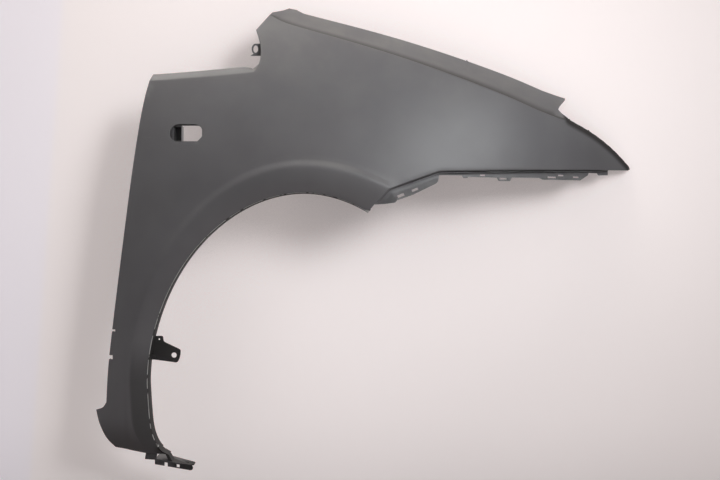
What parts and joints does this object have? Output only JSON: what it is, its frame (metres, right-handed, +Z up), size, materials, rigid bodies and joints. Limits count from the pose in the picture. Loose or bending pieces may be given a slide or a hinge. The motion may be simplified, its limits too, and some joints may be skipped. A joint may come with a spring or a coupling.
{
  "type": "car fender",
  "caption": "Right-hand front fender of a car, moulded in grey plastic, with a flared wheel arch, a side repeater window, a rebated bonnet edge, a bumper flange and a liner bracket.",
  "frame": {"origin": "on the underside of the second rail pad from the rear, 12 mm in front of its bolt hole, where the pad rests on the wing rail of the car", "axes": "+X points to the front of the car, +Y inboard and +Z up, so the painted face looks along -Y"},
  "size_m": [1.18, 0.2399, 1.0147],
  "materials": {
    "moulded_grey": "satin"
  },
  "bodies": {
    "root": {"fender_panel": "moulded_grey"}
  },
  "joints": []
}
